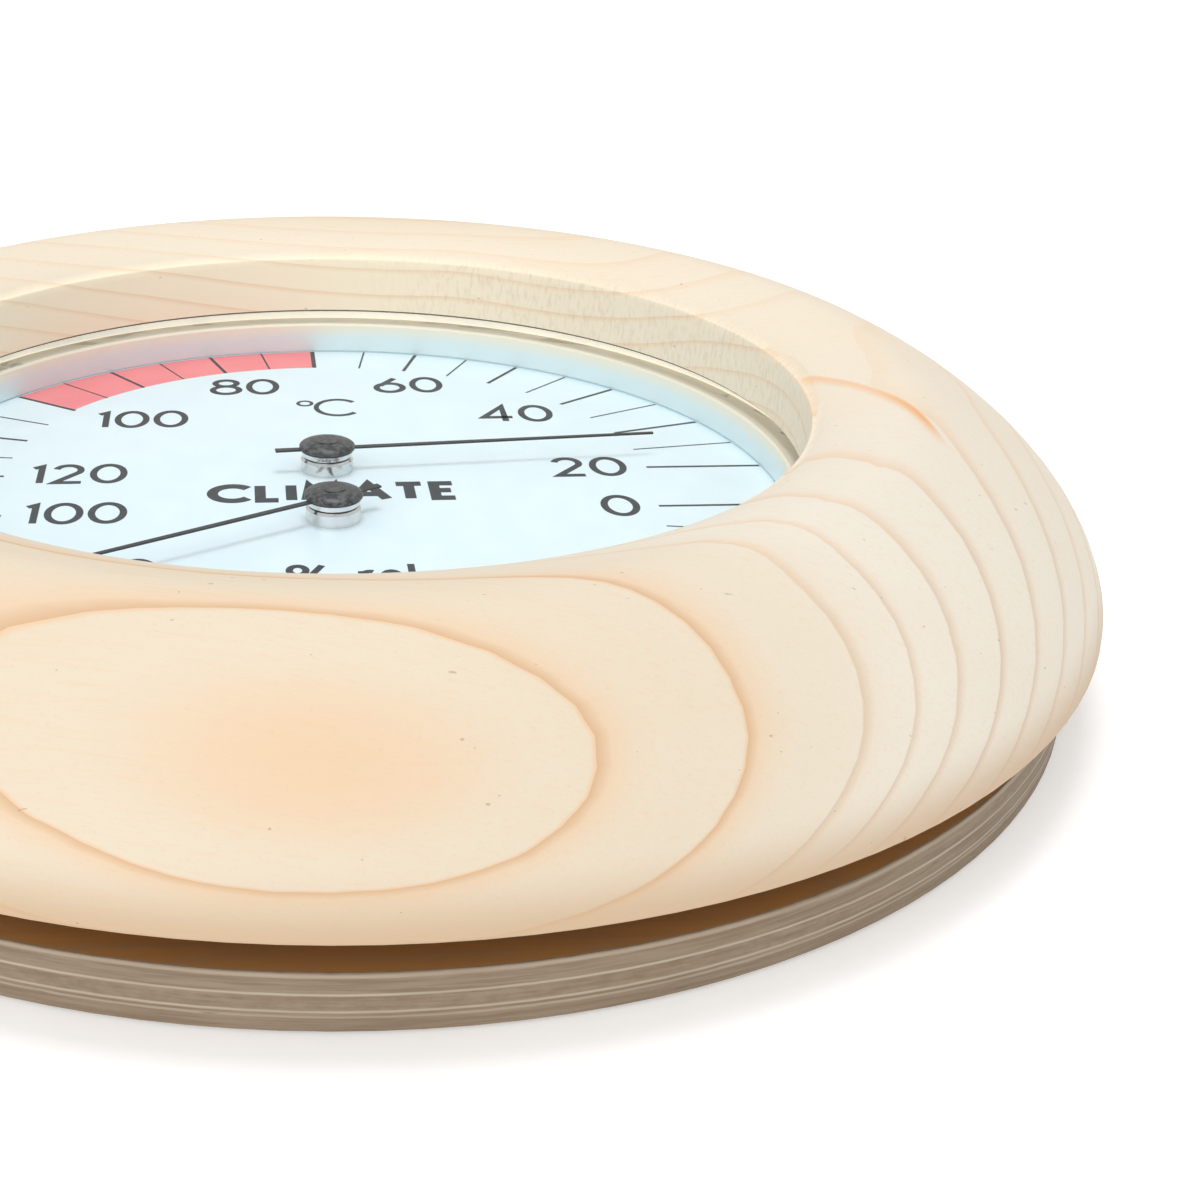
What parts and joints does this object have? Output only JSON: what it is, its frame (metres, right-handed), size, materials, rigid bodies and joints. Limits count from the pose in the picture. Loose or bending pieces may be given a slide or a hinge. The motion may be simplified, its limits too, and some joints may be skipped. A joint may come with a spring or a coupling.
{
  "type": "dial hygrometer",
  "caption": "Round wooden wall hygrometer and thermometer with one glazed dial, pivoting pointers, a turned ring and a plywood back plate with a hanging keyhole.",
  "frame": {"origin": "centre of the plywood back plate's rear face, where the part meets the wall", "axes": "+Z out of the dial towards the reader, +Y towards twelve o'clock on the dial, +X to the reader's right; the part is stored lying on its back"},
  "size_m": [0.1588, 0.1588, 0.0285],
  "materials": {
    "ring_wood": "bare turned softwood",
    "plywood": "sanded plywood",
    "spacer_wood": "bare",
    "screw_steel": "zinc plated",
    "gasket_black": "matt",
    "clear_glass": "polished",
    "bezel_aluminium": "satin",
    "dial_white": "satin white with printed scales",
    "case_metal": "pressed sheet",
    "clip_steel": "zinc plated",
    "bridge_brass": "stamped",
    "collar_nickel": "nickel plated",
    "arbor_steel": "turned",
    "pointer_black": "matt black",
    "cap_black": "semi-gloss black",
    "bimetal": "rolled strip",
    "hygro_strip": "rolled strip with a moisture-sensitive coat"
  },
  "bodies": {
    "housing": {"front_ring": "ring_wood", "back_plate": "plywood", "ring_spacers": "spacer_wood", "ring_screws": "screw_steel", "glass_gasket": "gasket_black", "glass_pane": "clear_glass", "bezel_ring": "bezel_aluminium", "dial_plate": "dial_white", "instrument_case": "case_metal", "case_clips": "clip_steel", "clip_screws": "screw_steel", "movement_bridge": "bridge_brass", "bridge_pillars": "bridge_brass", "bridge_screws": "screw_steel", "thermometer_collar": "collar_nickel", "thermometer_coil": "bimetal", "thermometer_coil_post": "bridge_brass", "hygrometer_collar": "collar_nickel", "hygrometer_coil": "hygro_strip", "hygrometer_coil_post": "bridge_brass"},
    "thermometer_movement": {"thermometer_arbor": "arbor_steel", "thermometer_collet": "collar_nickel", "thermometer_pointer": "pointer_black", "thermometer_cap": "cap_black"},
    "hygrometer_movement": {"hygrometer_arbor": "arbor_steel", "hygrometer_collet": "collar_nickel", "hygrometer_pointer": "pointer_black", "hygrometer_cap": "cap_black"}
  },
  "joints": [
    {"name": "thermometer_turn", "type": "hinge", "parent": "housing", "child": "thermometer_movement", "pos_m": [0, 0.0066, 0.0152], "axis": [0, 0, 1], "range_deg": [-9.4, 178.6], "stiffness_Nm_per_rad": 0.00012, "deforming": ["thermometer_coil"]},
    {"name": "hygrometer_turn", "type": "hinge", "parent": "housing", "child": "hygrometer_movement", "pos_m": [0, -0.0077, 0.0152], "axis": [0, 0, 1], "range_deg": [-34.3, 153.7], "stiffness_Nm_per_rad": 0.00012, "deforming": ["hygrometer_coil"]}
  ]
}
